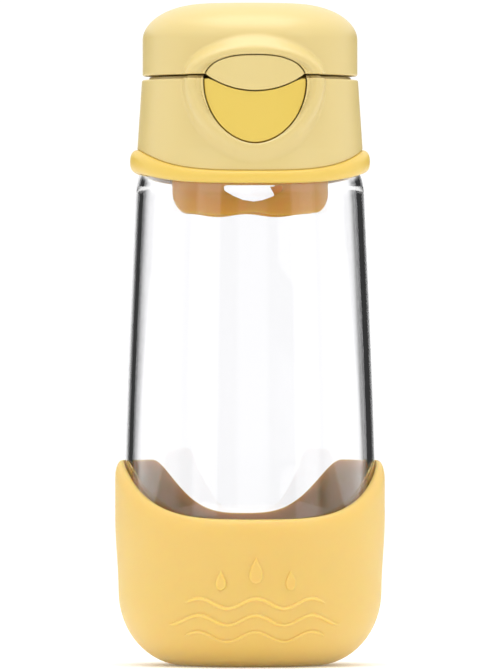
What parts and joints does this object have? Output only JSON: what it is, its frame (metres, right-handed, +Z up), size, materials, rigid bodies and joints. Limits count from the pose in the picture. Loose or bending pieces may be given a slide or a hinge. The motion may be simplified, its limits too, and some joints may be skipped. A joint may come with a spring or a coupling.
{
  "type": "flip-top kids water bottle",
  "caption": "Clear tapered kids' water bottle in a silicone boot, with a screw cap, push-button flip cover and soft drinking spout.",
  "frame": {"origin": "centre of the flat foot that the bottle stands on", "axes": "+Z up through the spout, -Y towards the push button, +Y towards the hinge"},
  "size_m": [0.0816, 0.0816, 0.2],
  "materials": {
    "silicone_boot": "satin moulded silicone",
    "clear_copolyester": "clear, polished",
    "silicone_white": "translucent moulded silicone",
    "silicone_spout": "satin moulded silicone",
    "core_plastic": "moulded polypropylene",
    "shell_plastic": "satin moulded polypropylene",
    "cover_plastic": "satin moulded polypropylene",
    "tab_plastic": "satin moulded polypropylene",
    "liner_plastic": "moulded polypropylene",
    "ring_plastic": "satin moulded elastomer",
    "button_plastic": "satin moulded polypropylene",
    "latch_acetal": "moulded acetal",
    "spring_steel": "drawn stainless wire",
    "pin_steel": "ground stainless rod"
  },
  "bodies": {
    "boot": {"base_boot": "silicone_boot"},
    "bottle": {"bottle_body": "clear_copolyester"},
    "cap_seal": {"cap_gasket": "silicone_white"},
    "cap": {"cap_core": "core_plastic", "cap_shell": "shell_plastic", "collar_ring": "ring_plastic", "spout": "silicone_spout", "spout_retainer": "liner_plastic", "flow_valve": "silicone_white", "vent_valve": "silicone_white", "latch_guide": "latch_acetal", "button_springs": "spring_steel", "hinge_pin": "pin_steel", "hinge_spring": "spring_steel"},
    "button": {"button": "button_plastic", "button_latch": "latch_acetal"},
    "cover": {"flip_cover": "cover_plastic", "cover_liner": "liner_plastic", "spout_stopper": "silicone_white", "latch_tab": "tab_plastic", "cover_catch": "liner_plastic"}
  },
  "joints": [
    {"name": "bottle_lift", "type": "slide", "parent": "boot", "child": "bottle", "axis": [0, 0, 1], "range_m": [0, 0.07]},
    {"name": "cap_lift", "type": "slide", "parent": "bottle", "child": "cap_seal", "axis": [0, 0, 1], "range_m": [0, 0.0061]},
    {"name": "cap_turn", "type": "hinge", "parent": "cap_seal", "child": "cap", "pos_m": [0, 0, 0.16], "axis": [0, 0, 1], "range_deg": [0, 540]},
    {"name": "button_press", "type": "slide", "parent": "cap", "child": "button", "axis": [0, 1, 0], "range_m": [0, 0.0022], "stiffness_N_per_m": 800, "deforming": ["button_springs"]},
    {"name": "cover_flip", "type": "hinge", "parent": "cap", "child": "cover", "pos_m": [0, 0.034, 0.1775], "axis": [-1, 0, 0], "range_deg": [0, 130], "deforming": ["hinge_spring"]}
  ],
  "couplings": [
    {"joint": "cap_lift", "follows": "cap_turn", "m_per_rad": 0.00063662}
  ]
}
